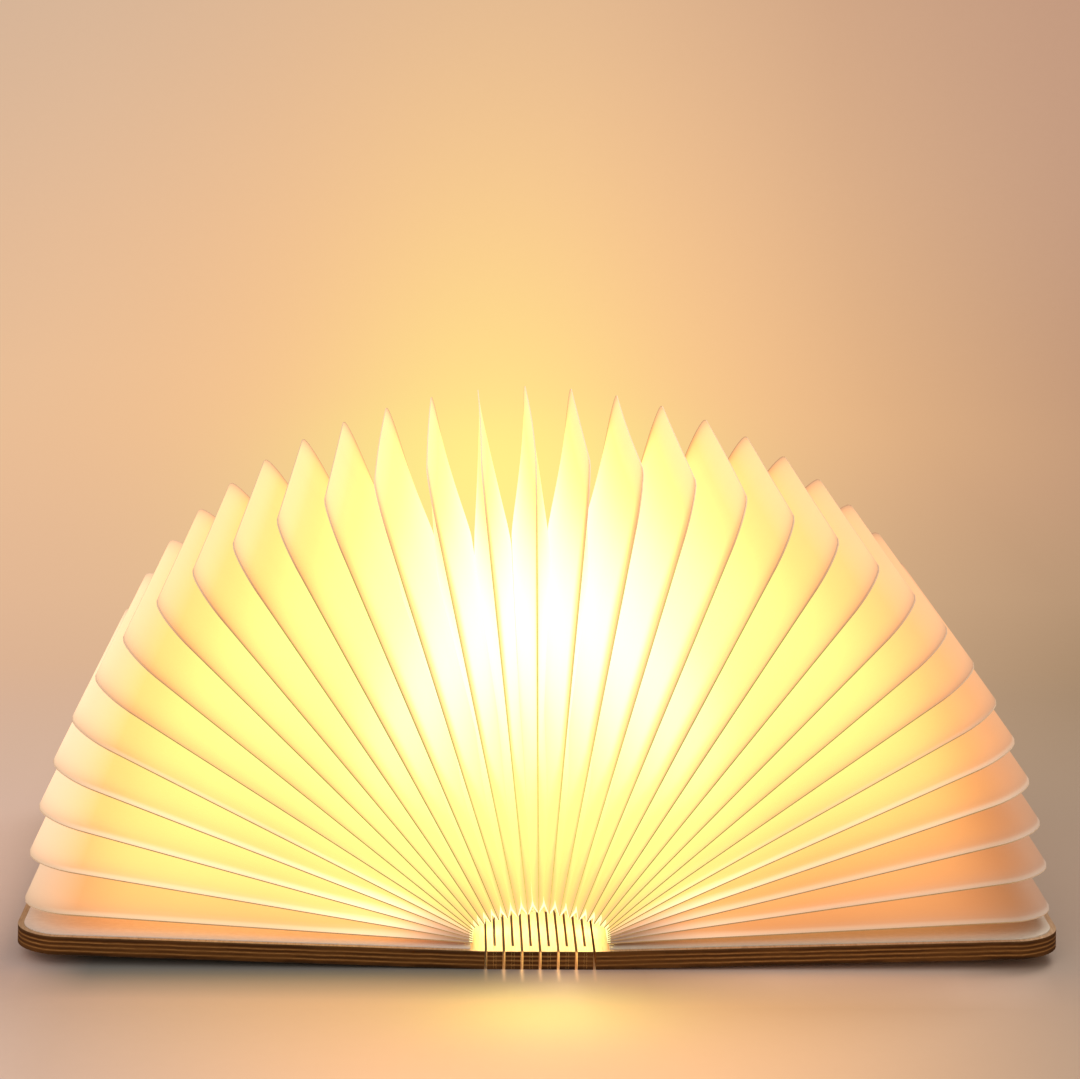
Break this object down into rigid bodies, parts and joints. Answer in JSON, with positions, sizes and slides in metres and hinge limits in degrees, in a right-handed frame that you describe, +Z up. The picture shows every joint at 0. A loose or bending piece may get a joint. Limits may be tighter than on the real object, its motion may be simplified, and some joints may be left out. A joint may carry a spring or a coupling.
{
  "type": "folding book lamp",
  "caption": "Book-shaped lamp: plywood covers on a slit bending spine, a fan of glowing paper pages over a light strip, cover magnets and a charging socket.",
  "frame": {"origin": "middle of the spine's underside, where the open lamp stands on a table", "axes": "+X across the open book to its right cover, +Y along the spine away from the viewer, +Z up"},
  "size_m": [0.202, 0.122, 0.0977],
  "materials": {
    "plywood": "bare plywood, edges browned by the laser",
    "plywood_web": "bare plywood, thin webs",
    "endpaper": "matt uncoated paper",
    "page_paper": "tear-proof fibre paper, lit from behind",
    "fold_paper": "tear-proof fibre paper, lit from behind",
    "rail_metal": "mill finish extrusion",
    "screw_steel": "plated steel",
    "board_white": "white solder mask",
    "lights": "phosphor over a warm white light",
    "tube_milky": "milky diffuser",
    "cell_wrap": "shrink wrap",
    "board_green": "green solder mask",
    "socket_steel": "drawn steel shell",
    "magnet_nickel": "nickel plate"
  },
  "bodies": {
    "root": {"spine_core": "plywood", "hinge_webs": "plywood_web", "light_rail": "rail_metal", "rail_screws": "screw_steel", "light_strip": "board_white", "lights": "lights", "light_tube": "tube_milky", "cell": "cell_wrap", "charging_board": "board_green", "charging_socket": "socket_steel"},
    "left_folds": {"left_page_folds": "fold_paper"},
    "left_cover": {"left_cover": "plywood", "left_endpaper": "endpaper", "left_magnets": "magnet_nickel"},
    "left_strip_1": {"strip_left_1": "plywood"},
    "left_strip_2": {"strip_left_2": "plywood"},
    "left_strip_3": {"strip_left_3": "plywood"},
    "left_strip_4": {"strip_left_4": "plywood"},
    "left_strip_5": {"strip_left_5": "plywood"},
    "right_folds": {"right_page_folds": "fold_paper"},
    "right_cover": {"right_cover": "plywood", "right_endpaper": "endpaper", "right_magnets": "magnet_nickel"},
    "right_strip_1": {"strip_right_1": "plywood"},
    "right_strip_2": {"strip_right_2": "plywood"},
    "right_strip_3": {"strip_right_3": "plywood"},
    "right_strip_4": {"strip_right_4": "plywood"},
    "right_strip_5": {"strip_right_5": "plywood"},
    "page_01": {"page_01": "page_paper"},
    "page_02": {"page_02": "page_paper"},
    "page_03": {"page_03": "page_paper"},
    "page_04": {"page_04": "page_paper"},
    "page_05": {"page_05": "page_paper"},
    "page_06": {"page_06": "page_paper"},
    "page_07": {"page_07": "page_paper"},
    "page_08": {"page_08": "page_paper"},
    "page_09": {"page_09": "page_paper"},
    "page_10": {"page_10": "page_paper"},
    "page_11": {"page_11": "page_paper"},
    "page_12": {"page_12": "page_paper"},
    "page_13": {"page_13": "page_paper"},
    "page_14": {"page_14": "page_paper"},
    "page_15": {"page_15": "page_paper"},
    "page_16": {"page_16": "page_paper"},
    "page_17": {"page_17": "page_paper"},
    "page_18": {"page_18": "page_paper"},
    "page_19": {"page_19": "page_paper"},
    "page_20": {"page_20": "page_paper"},
    "page_21": {"page_21": "page_paper"},
    "page_22": {"page_22": "page_paper"},
    "page_23": {"page_23": "page_paper"},
    "page_24": {"page_24": "page_paper"},
    "page_25": {"page_25": "page_paper"},
    "page_26": {"page_26": "page_paper"},
    "page_27": {"page_27": "page_paper"},
    "page_28": {"page_28": "page_paper"},
    "page_29": {"page_29": "page_paper"},
    "page_30": {"page_30": "page_paper"},
    "page_31": {"page_31": "page_paper"},
    "page_32": {"page_32": "page_paper"}
  },
  "joints": [
    {"name": "left_fold", "type": "hinge", "parent": "left_folds", "child": "left_cover", "pos_m": [-0.00739, 0, 0.0018], "axis": [0, 1, 0], "range_deg": [-88.25, 88.25]},
    {"name": "left_fold_rise", "type": "slide", "parent": "root", "child": "left_folds", "axis": [0, 0, 1], "range_m": [-0.0027, 0.0027], "deforming": ["hinge_webs", "left_page_folds"]},
    {"name": "left_bend_1", "type": "hinge", "parent": "root", "child": "left_strip_1", "pos_m": [-0.00174, 0, 0.0018], "axis": [0, 1, 0], "range_deg": [-15.05, 15.05]},
    {"name": "left_bend_2", "type": "hinge", "parent": "left_strip_1", "child": "left_strip_2", "pos_m": [-0.00348, 0, 0.0018], "axis": [0, 1, 0], "range_deg": [-15.05, 15.05]},
    {"name": "left_bend_3", "type": "hinge", "parent": "left_strip_2", "child": "left_strip_3", "pos_m": [-0.00522, 0, 0.0018], "axis": [0, 1, 0], "range_deg": [-15.05, 15.05]},
    {"name": "left_bend_4", "type": "hinge", "parent": "left_strip_3", "child": "left_strip_4", "pos_m": [-0.00696, 0, 0.0018], "axis": [0, 1, 0], "range_deg": [-15.05, 15.05]},
    {"name": "left_bend_5", "type": "hinge", "parent": "left_strip_4", "child": "left_strip_5", "pos_m": [-0.0087, 0, 0.0018], "axis": [0, 1, 0], "range_deg": [-15.05, 15.05]},
    {"name": "right_fold", "type": "hinge", "parent": "right_folds", "child": "right_cover", "pos_m": [0.00739, 0, 0.0018], "axis": [0, -1, 0], "range_deg": [-88.25, 88.25]},
    {"name": "right_fold_rise", "type": "slide", "parent": "root", "child": "right_folds", "axis": [0, 0, 1], "range_m": [-0.0027, 0.0027], "deforming": ["right_page_folds"]},
    {"name": "right_bend_1", "type": "hinge", "parent": "root", "child": "right_strip_1", "pos_m": [0.00174, 0, 0.0018], "axis": [0, -1, 0], "range_deg": [-15.05, 15.05]},
    {"name": "right_bend_2", "type": "hinge", "parent": "right_strip_1", "child": "right_strip_2", "pos_m": [0.00348, 0, 0.0018], "axis": [0, -1, 0], "range_deg": [-15.05, 15.05]},
    {"name": "right_bend_3", "type": "hinge", "parent": "right_strip_2", "child": "right_strip_3", "pos_m": [0.00522, 0, 0.0018], "axis": [0, -1, 0], "range_deg": [-15.05, 15.05]},
    {"name": "right_bend_4", "type": "hinge", "parent": "right_strip_3", "child": "right_strip_4", "pos_m": [0.00696, 0, 0.0018], "axis": [0, -1, 0], "range_deg": [-15.05, 15.05]},
    {"name": "right_bend_5", "type": "hinge", "parent": "right_strip_4", "child": "right_strip_5", "pos_m": [0.0087, 0, 0.0018], "axis": [0, -1, 0], "range_deg": [-15.05, 15.05]},
    {"name": "page_01_turn", "type": "hinge", "parent": "left_cover", "child": "page_01", "pos_m": [-0.00188, 0, -0.01313], "axis": [0, -1, 0], "range_deg": [-2.1, 2.1]},
    {"name": "page_02_turn", "type": "hinge", "parent": "left_cover", "child": "page_02", "pos_m": [-0.00972, 0, 0.0004], "axis": [0, -1, 0], "range_deg": [-8.01, 8.01]},
    {"name": "page_03_turn", "type": "hinge", "parent": "left_cover", "child": "page_03", "pos_m": [-0.01088, 0, 0.00272], "axis": [0, -1, 0], "range_deg": [-13.93, 13.93]},
    {"name": "page_04_turn", "type": "hinge", "parent": "left_cover", "child": "page_04", "pos_m": [-0.01135, 0, 0.00388], "axis": [0, -1, 0], "range_deg": [-19.84, 19.84]},
    {"name": "page_05_turn", "type": "hinge", "parent": "left_cover", "child": "page_05", "pos_m": [-0.0116, 0, 0.00468], "axis": [0, -1, 0], "range_deg": [-25.75, 25.75]},
    {"name": "page_06_turn", "type": "hinge", "parent": "left_cover", "child": "page_06", "pos_m": [-0.01177, 0, 0.00532], "axis": [0, -1, 0], "range_deg": [-31.67, 31.67]},
    {"name": "page_07_turn", "type": "hinge", "parent": "left_cover", "child": "page_07", "pos_m": [-0.01184, 0, 0.00577], "axis": [0, -1, 0], "range_deg": [-37.59, 37.59]},
    {"name": "page_08_turn", "type": "hinge", "parent": "left_cover", "child": "page_08", "pos_m": [-0.01171, 0, 0.00575], "axis": [0, -1, 0], "range_deg": [-43.5, 43.5]},
    {"name": "page_09_turn", "type": "hinge", "parent": "left_cover", "child": "page_09", "pos_m": [-0.01145, 0, 0.0055], "axis": [0, -1, 0], "range_deg": [-48.98, 48.98]},
    {"name": "page_10_turn", "type": "hinge", "parent": "left_cover", "child": "page_10", "pos_m": [-0.01102, 0, 0.00511], "axis": [0, -1, 0], "range_deg": [-54.45, 54.45]},
    {"name": "page_11_turn", "type": "hinge", "parent": "left_cover", "child": "page_11", "pos_m": [-0.01044, 0, 0.00466], "axis": [0, -1, 0], "range_deg": [-59.92, 59.92]},
    {"name": "page_12_turn", "type": "hinge", "parent": "root", "child": "page_12", "pos_m": [-0.00071, 0, -0.00601], "axis": [0, 1, 0], "range_deg": [-22.95, 22.95]},
    {"name": "page_13_turn", "type": "hinge", "parent": "root", "child": "page_13", "pos_m": [0.00034, 0, -0.00645], "axis": [0, 1, 0], "range_deg": [-17.48, 17.48]},
    {"name": "page_14_turn", "type": "hinge", "parent": "root", "child": "page_14", "pos_m": [0.00145, 0, -0.00664], "axis": [0, 1, 0], "range_deg": [-12, 12]},
    {"name": "page_15_turn", "type": "hinge", "parent": "root", "child": "page_15", "pos_m": [0.00262, 0, -0.00636], "axis": [0, 1, 0], "range_deg": [-6.53, 6.53]},
    {"name": "page_16_turn", "type": "hinge", "parent": "root", "child": "page_16", "pos_m": [0.0038, 0, -0.00123], "axis": [0, 1, 0], "range_deg": [-1.05, 1.05]},
    {"name": "page_17_turn", "type": "hinge", "parent": "root", "child": "page_17", "pos_m": [-0.00315, 0, -0.00863], "axis": [0, -1, 0], "range_deg": [-4.53, 4.53]},
    {"name": "page_18_turn", "type": "hinge", "parent": "root", "child": "page_18", "pos_m": [-0.00198, 0, -0.00782], "axis": [0, -1, 0], "range_deg": [-10, 10]},
    {"name": "page_19_turn", "type": "hinge", "parent": "root", "child": "page_19", "pos_m": [-0.00084, 0, -0.00733], "axis": [0, -1, 0], "range_deg": [-15.47, 15.47]},
    {"name": "page_20_turn", "type": "hinge", "parent": "root", "child": "page_20", "pos_m": [0.00023, 0, -0.00677], "axis": [0, -1, 0], "range_deg": [-20.95, 20.95]},
    {"name": "page_21_turn", "type": "hinge", "parent": "root", "child": "page_21", "pos_m": [0.00122, 0, -0.00607], "axis": [0, -1, 0], "range_deg": [-26.43, 26.43]},
    {"name": "page_22_turn", "type": "hinge", "parent": "right_cover", "child": "page_22", "pos_m": [0.01102, 0, 0.00506], "axis": [0, 1, 0], "range_deg": [-56.45, 56.45]},
    {"name": "page_23_turn", "type": "hinge", "parent": "right_cover", "child": "page_23", "pos_m": [0.01152, 0, 0.00548], "axis": [0, 1, 0], "range_deg": [-50.98, 50.98]},
    {"name": "page_24_turn", "type": "hinge", "parent": "right_cover", "child": "page_24", "pos_m": [0.01188, 0, 0.0058], "axis": [0, 1, 0], "range_deg": [-45.5, 45.5]},
    {"name": "page_25_turn", "type": "hinge", "parent": "right_cover", "child": "page_25", "pos_m": [0.01208, 0, 0.00591], "axis": [0, 1, 0], "range_deg": [-40.02, 40.02]},
    {"name": "page_26_turn", "type": "hinge", "parent": "right_cover", "child": "page_26", "pos_m": [0.0121, 0, 0.00569], "axis": [0, 1, 0], "range_deg": [-34.55, 34.55]},
    {"name": "page_27_turn", "type": "hinge", "parent": "right_cover", "child": "page_27", "pos_m": [0.01198, 0, 0.00513], "axis": [0, 1, 0], "range_deg": [-29.07, 29.07]},
    {"name": "page_28_turn", "type": "hinge", "parent": "right_cover", "child": "page_28", "pos_m": [0.01181, 0, 0.00448], "axis": [0, 1, 0], "range_deg": [-23.6, 23.6]},
    {"name": "page_29_turn", "type": "hinge", "parent": "right_cover", "child": "page_29", "pos_m": [0.01154, 0, 0.00365], "axis": [0, 1, 0], "range_deg": [-18.12, 18.12]},
    {"name": "page_30_turn", "type": "hinge", "parent": "right_cover", "child": "page_30", "pos_m": [0.01104, 0, 0.00242], "axis": [0, 1, 0], "range_deg": [-12.65, 12.65]},
    {"name": "page_31_turn", "type": "hinge", "parent": "right_cover", "child": "page_31", "pos_m": [0.00978, 0, -0.00015], "axis": [0, 1, 0], "range_deg": [-7.17, 7.17]},
    {"name": "page_32_turn", "type": "hinge", "parent": "right_cover", "child": "page_32", "pos_m": [0.00012, 0, -0.01735], "axis": [0, 1, 0], "range_deg": [-1.7, 1.7]}
  ],
  "couplings": [
    {"joint": "left_fold_rise", "follows": "left_fold", "m_per_rad": 0.001743},
    {"joint": "left_bend_1", "follows": "left_fold", "ratio": 0.16997},
    {"joint": "left_bend_2", "follows": "left_fold", "ratio": 0.16997},
    {"joint": "left_bend_3", "follows": "left_fold", "ratio": 0.16997},
    {"joint": "left_bend_4", "follows": "left_fold", "ratio": 0.16997},
    {"joint": "left_bend_5", "follows": "left_fold", "ratio": 0.16997},
    {"joint": "right_fold_rise", "follows": "right_fold", "m_per_rad": 0.001743},
    {"joint": "right_bend_1", "follows": "right_fold", "ratio": 0.16997},
    {"joint": "right_bend_2", "follows": "right_fold", "ratio": 0.16997},
    {"joint": "right_bend_3", "follows": "right_fold", "ratio": 0.16997},
    {"joint": "right_bend_4", "follows": "right_fold", "ratio": 0.16997},
    {"joint": "right_bend_5", "follows": "right_fold", "ratio": 0.16997},
    {"joint": "page_01_turn", "follows": "left_fold", "ratio": 0.023173},
    {"joint": "page_02_turn", "follows": "left_fold", "ratio": 0.090198},
    {"joint": "page_03_turn", "follows": "left_fold", "ratio": 0.15722},
    {"joint": "page_04_turn", "follows": "left_fold", "ratio": 0.22425},
    {"joint": "page_05_turn", "follows": "left_fold", "ratio": 0.29128},
    {"joint": "page_06_turn", "follows": "left_fold", "ratio": 0.3583},
    {"joint": "page_07_turn", "follows": "left_fold", "ratio": 0.42533},
    {"joint": "page_08_turn", "follows": "left_fold", "ratio": 0.49235},
    {"joint": "page_09_turn", "follows": "left_fold", "ratio": 0.55439},
    {"joint": "page_10_turn", "follows": "left_fold", "ratio": 0.61643},
    {"joint": "page_11_turn", "follows": "left_fold", "ratio": 0.67847},
    {"joint": "page_12_turn", "follows": "left_fold", "ratio": 0.25949},
    {"joint": "page_13_turn", "follows": "left_fold", "ratio": 0.19745},
    {"joint": "page_14_turn", "follows": "left_fold", "ratio": 0.13541},
    {"joint": "page_15_turn", "follows": "left_fold", "ratio": 0.073371},
    {"joint": "page_16_turn", "follows": "left_fold", "ratio": 0.011331},
    {"joint": "page_17_turn", "follows": "right_fold", "ratio": 0.050708},
    {"joint": "page_18_turn", "follows": "right_fold", "ratio": 0.11275},
    {"joint": "page_19_turn", "follows": "right_fold", "ratio": 0.17479},
    {"joint": "page_20_turn", "follows": "right_fold", "ratio": 0.23683},
    {"joint": "page_21_turn", "follows": "right_fold", "ratio": 0.29887},
    {"joint": "page_22_turn", "follows": "right_fold", "ratio": 0.63909},
    {"joint": "page_23_turn", "follows": "right_fold", "ratio": 0.57705},
    {"joint": "page_24_turn", "follows": "right_fold", "ratio": 0.51501},
    {"joint": "page_25_turn", "follows": "right_fold", "ratio": 0.45298},
    {"joint": "page_26_turn", "follows": "right_fold", "ratio": 0.39093},
    {"joint": "page_27_turn", "follows": "right_fold", "ratio": 0.32889},
    {"joint": "page_28_turn", "follows": "right_fold", "ratio": 0.26686},
    {"joint": "page_29_turn", "follows": "right_fold", "ratio": 0.20482},
    {"joint": "page_30_turn", "follows": "right_fold", "ratio": 0.14278},
    {"joint": "page_31_turn", "follows": "right_fold", "ratio": 0.080737},
    {"joint": "page_32_turn", "follows": "right_fold", "ratio": 0.018697}
  ]
}
